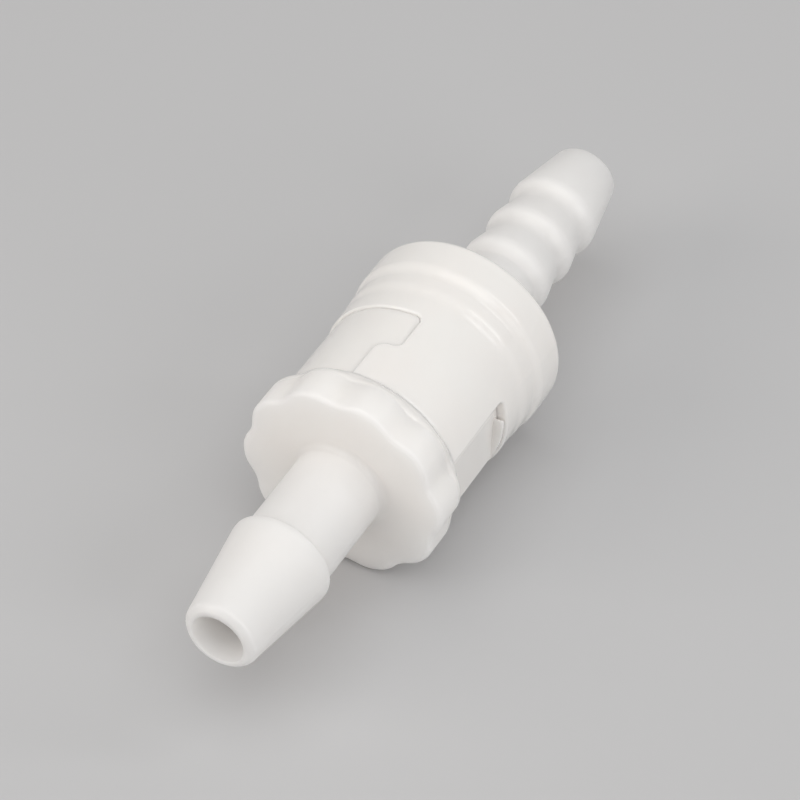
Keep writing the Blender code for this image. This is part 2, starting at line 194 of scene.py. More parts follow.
def span_points(first: OutlinePoint, last: OutlinePoint, step: float) -> list[OutlinePoint]:
    """Divides the straight between two arcs, with a point close to each arc to keep its shading there.

    Args:
        first: End of the arc that the straight leaves.
        last: Start of the arc that it meets.
        step: Longest face along the straight.

    Returns:
        Points between the two ends, without them.
    """
    length = math.hypot(last.station - first.station, last.radius - first.radius)
    if length < 3 * SUPPORT:
        return []
    inner = length - 2 * SUPPORT
    count = max(1, math.ceil(inner / step))
    shares = [(SUPPORT + inner * index / count) / length for index in range(count + 1)]
    return [OutlinePoint(*(a + (b - a) * share for a, b in zip(first, last))) for share in shares]


def rounded_outline(corners: Sequence[Corner], closed: bool = True) -> list[OutlinePoint]:
    """Rounds the corners of an outline and divides its straights.

    Args:
        corners: Corners in order.
        closed: Whether the last corner leads back to the first one.

    Returns:
        Points of the outline in order.
    """
    count = len(corners)
    arcs = [arc_points(corners[index - 1], corner, corners[(index + 1) % count])
            for index, corner in enumerate(corners)]
    points: list[OutlinePoint] = []
    for index, arc in enumerate(arcs):
        points += arc
        if closed or index < count - 1:
            points += span_points(arc[-1], arcs[(index + 1) % count][0], corners[index].step)
    return points


def linked(name: str, data: bpy.types.ID) -> bpy.types.Object:
    """Makes an object and links it to the scene.

    Args:
        name: Name of the object.
        data: Its mesh, lamp or camera.

    Returns:
        The object.
    """
    piece = bpy.data.objects.new(name, data)
    bpy.context.scene.collection.objects.link(piece)
    return piece


class Shell:
    """Points round the flow axis and the faces between them, gathered into one mesh."""

    def __init__(self) -> None:
        """Starts an empty shell."""
        self.shape = bmesh.new()
        self.grip = self.shape.verts.layers.float.new("grip")
        self.seam = self.shape.verts.layers.float.new("seam")

    def point(self, station: float, radius: float, angle: float) -> bmesh.types.BMVert:
        """Adds a point at a station, a distance from the axis and an angle round it, and returns it."""
        return self.shape.verts.new((station, -radius * math.sin(angle), radius * math.cos(angle)))

    def bridge(self, first: Row, second: Row, closed: bool = False) -> None:
        """Joins two rows by faces, as a fan where one row is a single point.

        Args:
            first: One row of points.
            second: The row beside it.
            closed: Whether the rows are rings.
        """
        count = max(len(first), len(second))
        for index in range(count if closed else count - 1):
            following = (index + 1) % count
            corners = [first[index % len(first)], second[index % len(second)]]
            if len(second) > 1:
                corners.append(second[following])
            if len(first) > 1:
                corners.append(first[following])
            self.shape.faces.new(corners)

    def turn(self, outline: Sequence[OutlinePoint], columns: int = TURN_COLUMNS, closed: bool = True) -> None:
        """Turns an outline about the flow axis.

        Args:
            outline: Points of the outline. An open one starts and ends on the axis.
            columns: Faces round the axis.
            closed: Whether the outline closes on itself.
        """
        rings: list[Row] = []
        for place in outline:
            ring = []
            for index in range(columns if place.radius else 1):
                point = self.point(place.station, place.radius, 2 * math.pi * index / columns)
                point[self.grip] = place.grip
                point[self.seam] = place.seam
                ring.append(point)
            rings.append(ring)
        for first, second in zip(rings, rings[1:]):
            self.bridge(first, second, closed=True)
        if closed:
            self.bridge(rings[-1], rings[0], closed=True)

    def to_object(self, name: str) -> bpy.types.Object:
        """Makes an object of the shell, with its faces outwards.

        Args:
            name: Name of the object.

        Returns:
            The object, linked to the scene.
        """
        bmesh.ops.recalc_face_normals(self.shape, faces=self.shape.faces[:])
        mesh = bpy.data.meshes.new(name)
        self.shape.to_mesh(mesh)
        self.shape.free()
        return linked(name, mesh)


def bake(piece: bpy.types.Object) -> None:
    """Turns a piece and its modifiers into a plain mesh, smooth but for its sharp edges.

    Args:
        piece: Piece to change.
    """
    depsgraph = bpy.context.evaluated_depsgraph_get()
    mesh = bpy.data.meshes.new_from_object(piece.evaluated_get(depsgraph), depsgraph=depsgraph)
    piece.modifiers.clear()
    piece.data = mesh
    mesh.name = piece.name
    mesh.shade_smooth()
    mesh.set_sharp_from_angle(angle=SHARP_ANGLE)


def work_in(piece: bpy.types.Object, tools: Sequence[bpy.types.Object], joining: Joining) -> None:
    """Cuts solids out of a piece, or fuses them to it, and removes them.

    Args:
        piece: Piece to change.
        tools: Solids that are used up.
        joining: Whether they are cut out or fused on.
    """
    for tool in tools:
        modifier = piece.modifiers.new(tool.name, "BOOLEAN")
        modifier.operation = joining.value
        modifier.solver = "EXACT"
        modifier.object = tool
    bake(piece)
    for tool in tools:
        bpy.data.objects.remove(tool)


Feed = bpy.types.NodeSocket | float | int | str | Colour | Vector


class NodeSheet:
    """A node tree, with short calls that add nodes and join them."""

    def __init__(self, tree: bpy.types.NodeTree) -> None:
        """Takes the tree to work on."""
        self.tree = tree

    def add(self, kind: str, feeds: dict[str | int, Feed] | None = None, **settings: Any) -> bpy.types.Node:
        """Adds a node.

        Args:
            kind: Type of the node.
            feeds: Sockets or plain values for its inputs, by name or place.
            **settings: Properties of the node.

        Returns:
            The new node.
        """
        node = self.tree.nodes.new(kind)
        for name, value in settings.items():
            setattr(node, name, value)
        for name, value in (feeds or {}).items():
            self.feed(node.inputs[name], value)
        return node

    def feed(self, target: bpy.types.NodeSocket, value: Feed) -> None:
        """Joins a socket to an input, or sets the input's plain value.

        Args:
            target: Input to feed.
            value: Socket to join, or value to set.
        """
        if isinstance(value, bpy.types.NodeSocket):
            self.tree.links.new(value, target)
        else:
            target.default_value = value

    def math(self, operation: str, *values: Feed) -> bpy.types.NodeSocket:
        """Adds a Math node with its inputs in order, and returns its result."""
        return self.add("ShaderNodeMath", dict(enumerate(values)), operation=operation).outputs[0]

    def ramp(
        self, value: Feed, low: Feed, high: Feed, start: Feed = 0.0, end: Feed = 1.0,
    ) -> bpy.types.NodeSocket:
        """Adds a clamped Map Range node that gives start at low and end at high, and returns its result."""
        feeds = {"Value": value, "From Min": low, "From Max": high, "To Min": start, "To Max": end}
        return self.add("ShaderNodeMapRange", feeds).outputs["Result"]


class ShapeTree(NodeSheet):
    """A Geometry Nodes tree with named inputs."""

    def __init__(self, name: str, inputs: dict[str, str]) -> None:
        """Starts a tree.

        Args:
            name: Name of the tree.
            inputs: Socket type of each named input.
        """
        super().__init__(bpy.data.node_groups.new(name, "GeometryNodeTree"))
        self.tree.is_modifier = True
        self.names: dict[str, str] = {}
        sides = {"Geometry": "NodeSocketGeometry", **inputs, "Finish": "NodeSocketMaterial"}
        for label, kind in sides.items():
            socket = self.tree.interface.new_socket(label, in_out="INPUT", socket_type=kind)
            self.names[label] = socket.identifier
        self.tree.interface.new_socket("Geometry", in_out="OUTPUT", socket_type="NodeSocketGeometry")
        self.given = self.add("NodeGroupInput").outputs

    def end(self, geometry: bpy.types.NodeSocket) -> None:
        """Closes the tree: realizes instances and sets the finish.

        Args:
            geometry: What the tree has made.
        """
        real = self.add("GeometryNodeRealizeInstances", {"Geometry": geometry}).outputs["Geometry"]
        dressed = self.add("GeometryNodeSetMaterial", {"Geometry": real, "Material": self.given["Finish"]})
        self.add("NodeGroupOutput", {"Geometry": dressed.outputs["Geometry"]})

    def apply(self, piece: bpy.types.Object, values: dict[str, Any], finish: bpy.types.Material) -> None:
        """Runs the tree on a piece and leaves a plain mesh.

        Args:
            piece: Piece to change.
            values: Value of each named input.
            finish: Material that the result gets.
        """
        modifier = piece.modifiers.new(self.tree.name, "NODES")
        modifier.node_group = self.tree
        for label, value in {**values, "Finish": finish}.items():
            modifier[self.names[label]] = value
        bake(piece)


@cache
def moulded_rim_tree() -> ShapeTree:
    """Makes the tree that scallops a turned grip and raises the mould's parting ridge.

    Returns:
        The tree, which reads each point's grip and seam shares.
    """
    tree = ShapeTree("moulded_rim", {
        "Lobe Count": WHOLE, "Notch Depth": NUMBER, "Notch Sharpness": NUMBER, "Notch Angle": NUMBER,
        "Seam Height": NUMBER, "Seam Angle": NUMBER, "Seam Width": NUMBER,
    })
    given = tree.given
    place = tree.add("GeometryNodeInputPosition").outputs["Position"]
    sides = tree.add("ShaderNodeSeparateXYZ", {0: place}).outputs
    angle = tree.math("ARCTAN2", tree.math("MULTIPLY", sides["Y"], -1.0), sides["Z"])
    turned = tree.math("SUBTRACT", angle, given["Notch Angle"])
    swing = tree.math("COSINE", tree.math("MULTIPLY", turned, given["Lobe Count"]))
    wave = tree.math("POWER", tree.math("MULTIPLY_ADD", swing, 0.5, 0.5), given["Notch Sharpness"])
    grip = tree.add("GeometryNodeInputNamedAttribute", {"Name": "grip"}).outputs["Attribute"]
    notch = tree.math("MULTIPLY", tree.math("MULTIPLY", wave, given["Notch Depth"]), grip)
    beside = tree.math("ABSOLUTE", tree.math("SINE", tree.math("SUBTRACT", angle, given["Seam Angle"])))
    ridge = tree.ramp(beside, 0.0, tree.math("SINE", given["Seam Width"]), given["Seam Height"], 0.0)
    seam = tree.add("GeometryNodeInputNamedAttribute", {"Name": "seam"}).outputs["Attribute"]
    rise = tree.math("SUBTRACT", tree.math("MULTIPLY", ridge, seam), notch)
    across = tree.add("ShaderNodeCombineXYZ", {"Y": sides["Y"], "Z": sides["Z"]}).outputs[0]
    outward = tree.add("ShaderNodeVectorMath", {0: across}, operation="NORMALIZE").outputs["Vector"]
    offset = tree.add("ShaderNodeVectorMath", {0: outward, "Scale": rise}, operation="SCALE").outputs[0]
    moved = tree.add("GeometryNodeSetPosition", {"Geometry": given["Geometry"], "Offset": offset})
    tree.end(moved.outputs["Geometry"])
    return tree


@cache
def coil_tree() -> ShapeTree:
    """Makes the tree of a compression spring, which winds a wire with closed turns at both ends.

    Returns:
        The tree.
    """
    tree = ShapeTree("wound_coil", {
        "Turns": NUMBER, "Closed Turns": NUMBER, "Coil Radius": NUMBER, "Wire Radius": NUMBER,
        "Start": NUMBER, "End": NUMBER, "Points": WHOLE, "Wire Sides": WHOLE,
    })
    given = tree.given
    line = tree.add("GeometryNodeCurvePrimitiveLine").outputs["Curve"]
    fine = tree.add("GeometryNodeResampleCurve", {"Curve": line, "Count": given["Points"]}).outputs["Curve"]
    share = tree.add("GeometryNodeSplineParameter").outputs["Factor"]
    closed = tree.math("DIVIDE", given["Closed Turns"], given["Turns"])
    opened = tree.math("SUBTRACT", 1.0, closed)
    half_length = tree.math("MULTIPLY", given["Closed Turns"], given["Wire Radius"])
    end_length = tree.math("MULTIPLY", half_length, 2.0)
    length = tree.math("SUBTRACT", given["End"], given["Start"])
    middle = tree.math("SUBTRACT", length, tree.math("MULTIPLY", end_length, 2.0))
    run = tree.math("ADD", tree.ramp(share, 0.0, closed, 0.0, end_length),
                    tree.ramp(share, opened, 1.0, 0.0, end_length))
    run = tree.math("ADD", run, tree.ramp(share, closed, opened, 0.0, middle))
    station = tree.math("ADD", given["Start"], run)
    angle = tree.math("MULTIPLY", tree.math("MULTIPLY", share, given["Turns"]), 2 * math.pi)
    inward = tree.math("MULTIPLY", given["Coil Radius"], -1.0)
    place = tree.add("ShaderNodeCombineXYZ", {
        "X": station,
        "Y": tree.math("MULTIPLY", inward, tree.math("SINE", angle)),
        "Z": tree.math("MULTIPLY", given["Coil Radius"], tree.math("COSINE", angle)),
    }).outputs[0]
    coil = tree.add("GeometryNodeSetPosition", {"Geometry": fine, "Position": place}).outputs["Geometry"]
    wire = tree.add("GeometryNodeCurvePrimitiveCircle", {
        "Resolution": given["Wire Sides"], "Radius": given["Wire Radius"],
    }).outputs["Curve"]
    tube = tree.add("GeometryNodeCurveToMesh", {"Curve": coil, "Profile Curve": wire, "Fill Caps": True})
    tree.end(tube.outputs["Mesh"])
    return tree


@cache
def spoke_tree() -> ShapeTree:
    """Makes the tree that sets rounded spokes between a hub and a ring, and fuses them.

    Returns:
        The tree.
    """
    tree = ShapeTree("fused_spokes", {
        "Count": WHOLE, "First Angle": NUMBER, "Station": NUMBER, "Inner Radius": NUMBER,
        "Outer Radius": NUMBER, "Width": NUMBER, "Thickness": NUMBER, "Edge": NUMBER,
    })
    given = tree.given
    foot = tree.add("ShaderNodeCombineXYZ", {"X": given["Station"], "Z": given["Inner Radius"]}).outputs[0]
    head = tree.add("ShaderNodeCombineXYZ", {"X": given["Station"], "Z": given["Outer Radius"]}).outputs[0]
    line = tree.add("GeometryNodeCurvePrimitiveLine", {"Start": foot, "End": head}).outputs["Curve"]
    section = tree.add("GeometryNodeCurvePrimitiveQuadrilateral", {
        "Width": given["Thickness"], "Height": given["Width"],
    }).outputs["Curve"]
    soft = tree.add("GeometryNodeFilletCurve", {
        "Curve": section, "Radius": given["Edge"], "Count": SPOKE_EDGE_POINTS,
    }, mode="POLY").outputs["Curve"]
    bar = tree.add("GeometryNodeCurveToMesh", {"Curve": line, "Profile Curve": soft, "Fill Caps": True})
    places = tree.add("GeometryNodePoints", {"Count": given["Count"]}).outputs["Points"]
    index = tree.add("GeometryNodeInputIndex").outputs["Index"]
    step = tree.math("DIVIDE", 2 * math.pi, given["Count"])
    angle = tree.math("MULTIPLY_ADD", index, step, given["First Angle"])
    turn = tree.add("ShaderNodeCombineXYZ", {"X": angle}).outputs[0]
    spokes = tree.add("GeometryNodeInstanceOnPoints", {
        "Points": places, "Instance": bar.outputs["Mesh"], "Rotation": turn,
    }).outputs["Instances"]
    loose = tree.add("GeometryNodeRealizeInstances", {"Geometry": spokes}).outputs["Geometry"]
    fused = tree.add("GeometryNodeMeshBoolean", {"Mesh 2": given["Geometry"]}, operation="UNION")
    tree.feed(fused.inputs["Mesh 2"], loose)
    tree.end(fused.outputs["Mesh"])
    return tree


class FinishGroup(NodeSheet):
    """A shader node group with named inputs and outputs."""

    def __init__(self, name: str, inputs: Sequence[str], outputs: Sequence[str]) -> None:
        """Starts a group.

        Args:
            name: Name of the group.
            inputs: Names of the values that each material gives it.
            outputs: Names of the values that it puts out.
        """
        super().__init__(bpy.data.node_groups.new(name, "ShaderNodeTree"))
        for side, labels in (("INPUT", inputs), ("OUTPUT", outputs)):
            for label in labels:
                self.tree.interface.new_socket(label, in_out=side, socket_type=NUMBER)
        self.given = self.add("NodeGroupInput").outputs
        self.result = self.add("NodeGroupOutput").inputs
        self.place = self.add("ShaderNodeTexCoord").outputs["Object"]

    def noise(
        self, scale: Feed, detail: float, place: bpy.types.NodeSocket | None = None,
    ) -> bpy.types.NodeSocket:
        """Adds a noise, on plain Object coordinates if no others are given, and returns its value."""
        feeds = {"Vector": place or self.place, "Scale": scale, "Detail": detail}
        return self.add("ShaderNodeTexNoise", {**feeds, "Roughness": NOISE_ROUGHNESS}).outputs[0]


@cache
def moulded_skin() -> FinishGroup:
    """Makes the group of a moulded surface: slow clouding, gloss patches and fine grain.

    Returns:
        The group, whose Cloud and Gloss go from 0 to 1 and whose Grain is a height.
    """
    group = FinishGroup(
        "moulded_skin", ["Cloud Scale", "Gloss Scale", "Grain Scale"], ["Cloud", "Gloss", "Grain"],
    )
    given = group.given
    cloud = group.ramp(group.noise(given["Cloud Scale"], CLOUD_DETAIL), *PATCH_RANGE)
    gloss = group.ramp(group.noise(given["Gloss Scale"], GLOSS_DETAIL), *PATCH_RANGE)
    grain = group.noise(given["Grain Scale"], GRAIN_DETAIL)
    ripple = group.noise(given["Gloss Scale"], RIPPLE_DETAIL)
    group.feed(group.result["Cloud"], cloud)
    group.feed(group.result["Gloss"], gloss)
    group.feed(group.result["Grain"], group.math("MULTIPLY_ADD", ripple, RIPPLE_SHARE, grain))
    return group


@cache
def handling_marks() -> FinishGroup:
    """Makes the group of short hairline marks that handling leaves, in two directions.

    Returns:
        The group, with a mask that reaches its Amount in a mark.
    """
    group = FinishGroup("handling_marks", ["Amount"], ["Marks"])
    lines: list[bpy.types.NodeSocket] = []
    for turn, stretch in MARK_SETS:
        mapped = group.add("ShaderNodeMapping", {
            "Vector": group.place, "Rotation": (turn, 0.0, turn), "Scale": stretch,
        }).outputs[0]
        lines.append(group.ramp(group.noise(MARK_SCALE, MARK_DETAIL, mapped), *MARK_RANGE))
    both = group.math("MAXIMUM", *lines)
    group.feed(group.result["Marks"], group.math("MULTIPLY", both, group.given["Amount"]))
    return group


class FinishSheet(NodeSheet):
    """The node tree of one material, with its Principled shader."""

    def __init__(self, name: str) -> None:
        """Makes a material.

        Args:
            name: Name of the material.
        """
        self.material = bpy.data.materials.new(name)
        self.material.use_nodes = True
        super().__init__(self.material.node_tree)
        self.shader = self.tree.nodes["Principled BSDF"].inputs

    def place(self, group: FinishGroup, values: dict[str, Feed]) -> bpy.types.NodeOutputs:
        """Places a shared group with values for its inputs, and returns its outputs."""
        return self.add("ShaderNodeGroup", values, node_tree=group.tree).outputs

    def blend(self, share: Feed, first: Colour, second: Colour) -> bpy.types.NodeSocket:
        """Mixes two colours by the share of the second one, and returns the mixed colour."""
        feeds = {"Factor": share, MIX_FIRST: first, MIX_SECOND: second}
        return self.add("ShaderNodeMix", feeds, data_type="RGBA").outputs[MIX_RESULT]


class SkinScale(NamedTuple):
    """Patches in a metre of a surface's clouding, of its gloss and of its grain."""

    cloud: float
    gloss: float
    grain: float


@dataclass(frozen=True)
class Finish(ABC):
    """A finish that a piece is dressed in.

    Attributes:
        name: Name of the material.
        colour: Colour of the plain surface.
        clouded: Colour of its clouded patches.
        gloss: Roughness of its glossy patches.
        dull: Roughness of its dull ones.
        scale: How fine its patches and its grain are.
        grain_depth: Depth of its grain, or zero.
        grain_share: Share of the grain that shows.
        marks: Amount of handling marks on it, or zero.
        mark_dulling: Roughness that a mark adds.
    """

    name: str
    colour: Colour
    clouded: Colour
    gloss: float
    dull: float
    scale: SkinScale
    grain_depth: float = 0.0
    grain_share: float = 0.5
    marks: float = 0.0
    mark_dulling: float = 0.0

    @abstractmethod
    def plain_values(self) -> dict[str, Feed]:
        """Returns the shader's values that are the same all over the surface."""

    def material(self) -> bpy.types.Material:
        """Makes the finish's material.

        Returns:
            The material.
        """
        sheet = FinishSheet(self.name)
        skin = sheet.place(moulded_skin(), {
            "Cloud Scale": self.scale.cloud, "Gloss Scale": self.scale.gloss, "Grain Scale": self.scale.grain,
        })
        rough = sheet.ramp(skin["Gloss"], 0.0, 1.0, self.gloss, self.dull)
        if self.marks:
            marks = sheet.place(handling_marks(), {"Amount": self.marks})["Marks"]
            rough = sheet.math("MULTIPLY_ADD", marks, self.mark_dulling, rough)
        feeds = {
            "Base Color": sheet.blend(skin["Cloud"], self.colour, self.clouded), "Roughness": rough,
            **self.plain_values(),
        }
        if self.grain_depth:
            grain = {"Height": skin["Grain"], "Distance": self.grain_depth, "Strength": self.grain_share}
            feeds["Normal"] = sheet.add("ShaderNodeBump", grain).outputs["Normal"]
        for name, value in feeds.items():
            sheet.feed(sheet.shader[name], value)
        return sheet.material


@dataclass(frozen=True)
class MouldedPlastic(Finish):
    """Natural plastic, semi-gloss and slightly translucent, as it leaves the mould.

    Attributes:
        glow: Share of light that goes through the surface.
        glow_reach: Distance that it goes.
        glow_tint: How far red, green and blue go, as shares of that distance.
        refraction: Index of refraction.
    """

    scale: SkinScale = SkinScale(170.0, 850.0, 7000.0)
    grain_depth: float = 0.0000015
    marks: float = 0.2
    mark_dulling: float = 0.12
    glow: float = 0.90
    glow_reach: float = 0.0030
    glow_tint: tuple[float, float, float] = (1.0, 1.0, 1.0)
    refraction: float = 1.49

    def plain_values(self) -> dict[str, Feed]:
        """Returns the values of a translucent plastic."""
        return {"IOR": self.refraction, "Subsurface Weight": self.glow,
                "Subsurface Radius": self.glow_tint, "Subsurface Scale": self.glow_reach}


@dataclass(frozen=True)
class SealRubber(Finish):
    """Black seal rubber, matt with a faint bloom.

    Attributes:
        refraction: Index of refraction.
    """

    gloss: float = 0.48
    dull: float = 0.66
    scale: SkinScale = SkinScale(500.0, 1500.0, 9000.0)
    grain_depth: float = 0.000006
    grain_share: float = 0.6
    refraction: float = 1.52

    def plain_values(self) -> dict[str, Feed]:
        """Returns the values of rubber."""
        return {"IOR": self.refraction}


@dataclass(frozen=True)
class SpringSteel(Finish):
    """Drawn stainless wire with darker streaks."""

    gloss: float = 0.22
    dull: float = 0.36
    scale: SkinScale = SkinScale(900.0, 2500.0, 12000.0)
    grain_depth: float = 0.000002
    marks: float = 1.0
    mark_dulling: float = 0.15

    def plain_values(self) -> dict[str, Feed]:
        """Returns the values of metal."""
        return {"Metallic": 1.0}


@dataclass(frozen=True)
class PaleFloor(Finish):
    """Matt pale floor with a faint unevenness.

    Attributes:
        specular: Level of its gloss.
    """

    gloss: float = 0.55
    dull: float = 0.65
    scale: SkinScale = SkinScale(8.0, 40.0, 900.0)
    specular: float = 0.3

    def plain_values(self) -> dict[str, Feed]:
        """Returns the values of a matt floor."""
        return {"Specular IOR Level": self.specular}


@dataclass(frozen=True)
class HoseTail:
    """A hose tail, with its sizes counted from its tip.

    Attributes:
        heading: Way from its tip to its root.
        tip_radius: Radius of the tip.
        cone_length: Length of the lead-in cone.
        crest_radius: Radius of each barb's crest.
        neck_radius: Radius between the barbs and behind them.
        root_length: Length from the last barb's shoulder to the tail's root.
        barb_count: Barbs along the tail.
        barb_pitch: Distance between two barbs.
        barb_taper: Length of the cone of each barb behind the first one.
        barb_land: Length of each crest.
        bore_radius: Radius of the bore.
        shoulder_run: Length over which the last shoulder falls to the neck.
        mouth_round: Rounding of the bore's mouth.
        lip_width: Width of the tip's bevelled lip.
        lip_length: Length of that lip.
        lip_round: Rounding of the lip's two edges.
        crest_round: Rounding where a cone meets its crest.
        shoulder_round: Rounding of a crest's steep side.
        foot_round: Rounding at the foot of the last shoulder.
        valley_round: Rounding of the valley between two barbs.
    """

    heading: Heading
    tip_radius: float
    cone_length: float
    crest_radius: float
    neck_radius: float
    root_length: float
    barb_count: int = 1
    barb_pitch: float = 0.0
    barb_taper: float = 0.0
    barb_land: float = 0.00045
    bore_radius: float = 0.00200
    shoulder_run: float = 0.00020
    mouth_round: float = 0.00010
    lip_width: float = 0.00038
    lip_length: float = 0.00045
    lip_round: float = 0.00050
    crest_round: float = 0.00080
    shoulder_round: float = 0.00026
    foot_round: float = 0.00020
    valley_round: float = 0.00120

    @property
    def length(self) -> float:
        """Length from the tip to the root."""
        barbs = (self.barb_count - 1) * self.barb_pitch
        return self.cone_length + self.barb_land + barbs + self.root_length

    def corners(self, tip: float) -> list[Corner]:
        """Returns the corners of the tail's outline, from the bore's mouth to the last shoulder.

        Args:
            tip: Station of the tip.

        Returns:
            The corners in order.
        """
        way = self.heading.value
        lip_rise = (self.crest_radius - self.tip_radius) * self.lip_length / self.cone_length
        corners = [
            Corner(tip, self.bore_radius, self.mouth_round),
            Corner(tip, self.tip_radius - self.lip_width, self.lip_round),
            Corner(tip + way * self.lip_length, self.tip_radius + lip_rise, self.lip_round, seam=1.0),
        ]
        for index in range(self.barb_count):
            crest = self.cone_length + index * self.barb_pitch
            shoulder = crest + self.barb_land
            if index:
                valley = tip + way * (crest - self.barb_taper)
                corners.append(Corner(valley, self.neck_radius, self.valley_round, seam=1.0))
            corners.append(Corner(tip + way * crest, self.crest_radius, self.crest_round, seam=1.0))
            corners.append(Corner(tip + way * shoulder, self.crest_radius, self.shoulder_round, seam=1.0))
        foot = tip + way * (shoulder + self.shoulder_run)
        corners.append(Corner(foot, self.neck_radius, self.foot_round, seam=1.0))
        return corners


@dataclass(frozen=True)
class BayonetStrip:
    """An L-shaped strip of a cylinder's wall, which a window cuts out and a lug fills.

    Attributes:
        start: Angle where it starts.
        wall: Angle where its full length ends and only its leg goes on.
        end: Angle where the leg ends.
        mouth: Station of its open end.
        leg: Station where the leg starts.
        back: Station of its far end.
        radius: Radius at which lengths round the axis are measured.
        finger_round: Rounding of the corner where the leg turns off.
        corner: Rounding of its other corners.
        rows: Rows of faces between its start and its wall.
        wall_step: Angle over which its near edge steps from the mouth to the leg.
    """

    start: float
    wall: float
    end: float
    mouth: float
    leg: float
    back: float
    radius: float
    finger_round: float
    corner: float
    rows: int = 64
    wall_step: float = math.radians(0.1)

    def grown(self, margin: float) -> "BayonetStrip":
        """Returns the strip with every edge but its mouth moved outwards by a margin."""
        turn = margin / self.radius
        return replace(
            self, start=self.start - turn, wall=self.wall + turn, end=self.end + turn, leg=self.leg - margin,
            back=self.back + margin, finger_round=self.finger_round - margin, corner=self.corner + margin,
        )

    def edges(self) -> list[tuple[float, float, float]]:
        """Finds the strip's near and far edges.

        Returns:
            Each row's angle and the stations of its two edges, in order of angle.
        """
        quarter = [math.pi / 2 * index / CORNER_STEPS for index in range(CORNER_STEPS + 1)]
        found = []
        for bend in quarter:
            angle = self.start + self.corner * (1 - math.cos(bend)) / self.radius
            found.append((angle, self.mouth, self.back - self.corner * (1 - math.sin(bend))))
        first = self.start + self.corner / self.radius
        for index in range(1, self.rows + 1):
            found.append((first + (self.wall - first) * index / self.rows, self.mouth, self.back))
        for bend in quarter:
            angle = self.wall + self.wall_step + self.finger_round * (1 - math.cos(bend)) / self.radius
            found.append((angle, self.leg - self.finger_round * (1 - math.sin(bend)), self.back))
        for bend in reversed(quarter):
            angle = self.end - self.corner * (1 - math.cos(bend)) / self.radius
            inset = self.corner * (1 - math.sin(bend))
            found.append((angle, self.leg + inset, self.back - inset))
        return found

    def solid(self, name: str, levels: Sequence[tuple[float, float]], columns: int = 1) -> bpy.types.Object:
        """Makes the strip a closed solid.

        Args:
            name: Name of the object.
            levels: Radius of each level from the inside out, with the margin that the strip grows by there.
            columns: Faces from the near edge to the far edge of the outermost level.

        Returns:
            The solid.
        """
        shell = Shell()
        near: list[Row] = []
        far: list[Row] = []
        sheets: list[list[Row]] = []
        for index, (radius, margin) in enumerate(levels):
            count = columns if index == len(levels) - 1 else 1
            sheet = []
            for angle, low, high in self.grown(margin).edges():
                stations = [low + (high - low) * step / count for step in range(count + 1)]
                sheet.append([shell.point(station, radius, angle) for station in stations])
            sheets.append(sheet)
            near.append([row[0] for row in sheet])
            far.append([row[-1] for row in sheet])
        for surface in (sheets[0], sheets[-1], near, far):
            for first, second in zip(surface, surface[1:]):
                shell.bridge(first, second)
        for end in (0, -1):
            for lower, upper in zip(sheets, sheets[1:]):
                shell.shape.faces.new([*lower[end], *reversed(upper[end])])
        return shell.to_object(name)


@dataclass(frozen=True)
class Bayonet:
    """The bayonet that holds the cap in the body.

    Attributes:
        radius: Outer radius of the sleeve that the windows are cut in.
        flange_back: Station of the cap's flange, where windows and lugs start.
        count: Windows round the sleeve.
        window_length: Length from the flange to a window's far edge.
        window_arc: Angle that a window spans, without its leg.
        wall_angle: Angle of the first window's wall.
        leg_arc: Angle that the leg goes on past the wall.
        leg_length: Length of the leg.
        corner: Rounding of a window's corners.
        finger_round: Rounding of the sleeve's finger where the leg turns off.
        clearance: Gap between a lug and its window.
        root: Length that a lug reaches into the flange.
    """

    radius: float
    flange_back: float
    count: int = 2
    window_length: float = 0.00750
    window_arc: float = math.radians(100.0)
    wall_angle: float = math.radians(-8.0)
    leg_arc: float = math.radians(13.0)
    leg_length: float = 0.00350
    corner: float = 0.00060
    finger_round: float = 0.00100
    clearance: float = 0.00001
    root: float = 0.00035

    def window(self, index: int) -> BayonetStrip:
        """Finds what a window takes out of the sleeve.

        Args:
            index: Which window.

        Returns:
            The window's strip.
        """
        wall = self.wall_angle + 2 * math.pi * index / self.count
        back = self.flange_back + self.window_length
        return BayonetStrip(
            start=wall - self.window_arc, wall=wall, end=wall + self.leg_arc, mouth=self.flange_back,
            leg=back - self.leg_length, back=back, radius=self.radius,
            finger_round=self.finger_round, corner=self.corner,
        )

    def lug(self, index: int) -> BayonetStrip:
        """Finds what a lug fills, short enough to turn in its window.

        Args:
            index: Which window it stands in.

        Returns:
            The lug's strip.
        """
        window = self.window(index)
        short = replace(window, start=window.start + self.leg_arc, mouth=self.flange_back - self.root)
        return short.grown(-self.clearance)


def rounded_levels(inner: float, outer: float, edge: float, edging: Edging) -> list[tuple[float, float]]:
    """Finds the levels of a strip whose outer edges are rounded.

    Args:
        inner: Radius of the innermost level.
        outer: Radius of the surface that the edge runs into.
        edge: Rounding of the edge.
        edging: Way that the edge goes.

    Returns:
        Radius and margin of each level.
    """
    levels = [(inner, 0.0)]
    for index in range(EDGE_STEPS + 1):
        bend = EDGE_TURN * index / EDGE_STEPS
        levels.append((outer - edge * (1 - math.sin(bend)), edging.value * edge * (1 - math.cos(bend))))
    return levels


